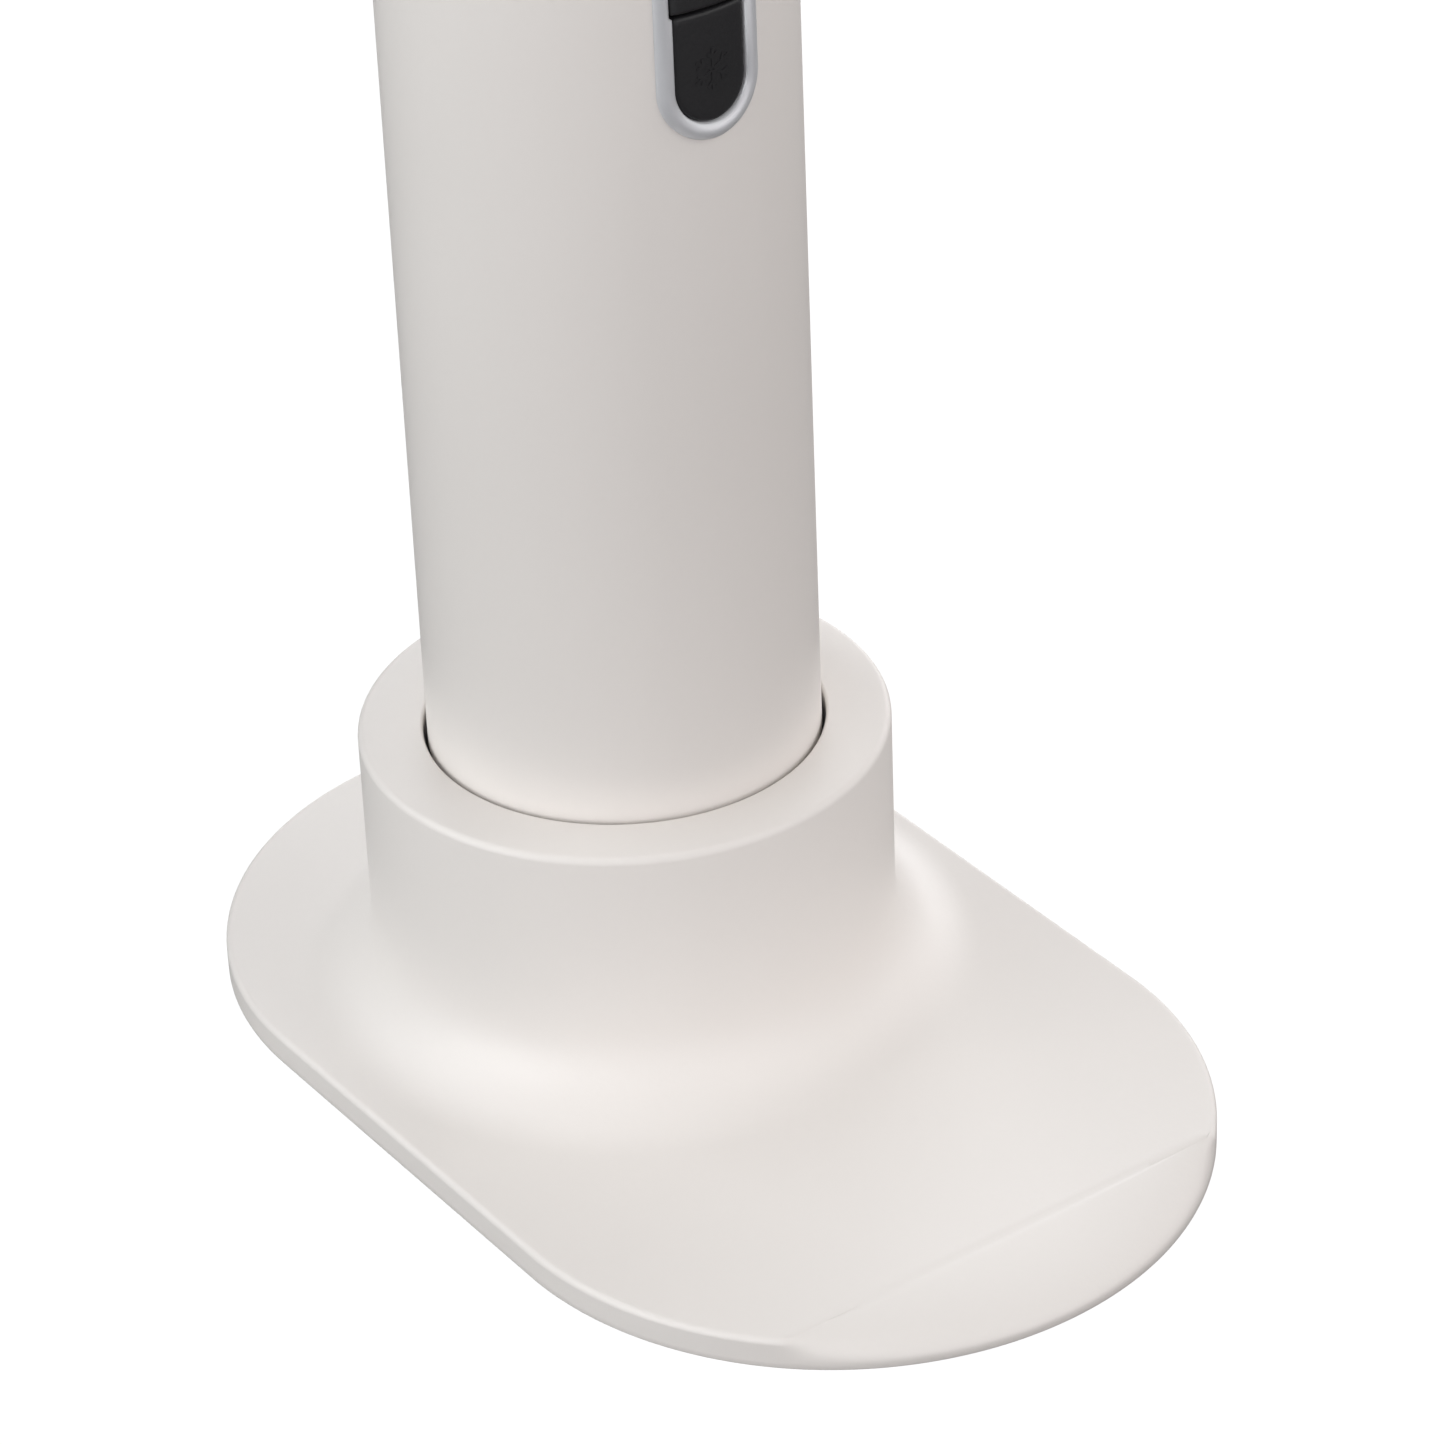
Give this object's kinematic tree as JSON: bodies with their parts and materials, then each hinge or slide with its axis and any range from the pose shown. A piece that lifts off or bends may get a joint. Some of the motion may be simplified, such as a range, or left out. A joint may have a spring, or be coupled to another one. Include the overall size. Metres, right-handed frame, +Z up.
{
  "type": "hot-air hair styler with desk stand",
  "caption": "Upright cylindrical hot-air hair styler wand standing in the collar of a weighted stadium-shaped desk base, with a silver-rimmed black control panel.",
  "frame": {"origin": "centre of the base plate, on the surface it stands on", "axes": "+Z up along the wand, -Y to the front where the controls and the plate's nose are, +X to the right seen from the front"},
  "size_m": [0.0786, 0.1262, 0.2605],
  "materials": {
    "white_shell": "satin, very fine texture",
    "silver_trim": "satin anodised",
    "black_key": "satin",
    "dark_plastic": "fine moulded texture",
    "dark_rubber": "matt silicone",
    "steel": "plain zinc plated",
    "bare_aluminium": "machined",
    "copper_wire": "enamelled copper wire",
    "circuit_board": "glass epoxy board with solder mask",
    "duct_plastic": "natural heat-resistant plastic",
    "mica": "pressed mica sheet",
    "heating_wire": "resistance wire",
    "ceramic": "ceramic and tinned metal case"
  },
  "bodies": {
    "stand": {"stand_shell": "white_shell", "ballast_plate": "steel", "base_pad": "dark_rubber", "ballast_screws": "steel", "rest_ring": "dark_rubber"},
    "wand": {"handle_tube": "white_shell", "cord_boss": "dark_plastic", "intake_frame": "dark_plastic", "motor_dampers": "dark_rubber", "motor_can": "bare_aluminium", "diffuser": "bare_aluminium", "bearings": "steel", "stator_core": "steel", "stator_coils": "copper_wire", "bearing_bridge": "bare_aluminium", "motor_board": "circuit_board", "duct_seal": "dark_rubber", "air_duct": "duct_plastic", "panel_trim": "silver_trim", "panel_frame": "dark_plastic", "control_board": "circuit_board", "board_screws": "steel", "cool_switch": "dark_plastic", "slide_switch": "dark_plastic", "slide_track": "black_key", "heater_shield": "mica", "mica_frame": "mica", "heater_coil": "heating_wire", "thermostat": "ceramic", "thermal_fuse": "ceramic", "outlet_grille": "dark_plastic", "outlet_sleeve": "dark_plastic", "end_ring": "white_shell"},
    "filter": {"filter_cage": "dark_plastic", "filter_mesh": "steel"},
    "gland": {"cord_gland": "dark_plastic"},
    "fan": {"impeller": "bare_aluminium", "shaft": "steel", "rotor_magnet": "steel"},
    "cool_key": {"cool_button": "black_key", "cool_plunger": "duct_plastic"},
    "speed_slide": {"slide_thumb": "black_key", "switch_lever": "duct_plastic"},
    "lock": {"lock_ring": "silver_trim"}
  },
  "joints": [
    {"name": "wand_lift", "type": "slide", "parent": "stand", "child": "wand", "axis": [0, 0, 1], "range_m": [0, 0.06]},
    {"name": "filter_twist", "type": "hinge", "parent": "wand", "child": "filter", "pos_m": [0, 0.01325, 0.02], "axis": [0, 0, 1], "range_deg": [0, 20]},
    {"name": "gland_swivel", "type": "hinge", "parent": "wand", "child": "gland", "pos_m": [0, 0.01325, 0.015], "axis": [0, 0, 1], "continuous": true},
    {"name": "fan_spin", "type": "hinge", "parent": "wand", "child": "fan", "pos_m": [0, 0.01325, 0.06], "axis": [0, 0, 1], "continuous": true},
    {"name": "cool_press", "type": "slide", "parent": "wand", "child": "cool_key", "axis": [0, 1, 0], "range_m": [0, 0.0005], "stiffness_N_per_m": 1500, "springref_m": -0.0005},
    {"name": "speed_slide", "type": "slide", "parent": "wand", "child": "speed_slide", "axis": [0, 0, 1], "range_m": [0, 0.012]},
    {"name": "lock_turn", "type": "hinge", "parent": "wand", "child": "lock", "pos_m": [0, 0.01325, 0.25], "axis": [0, 0, 1], "range_deg": [0, 25]}
  ]
}
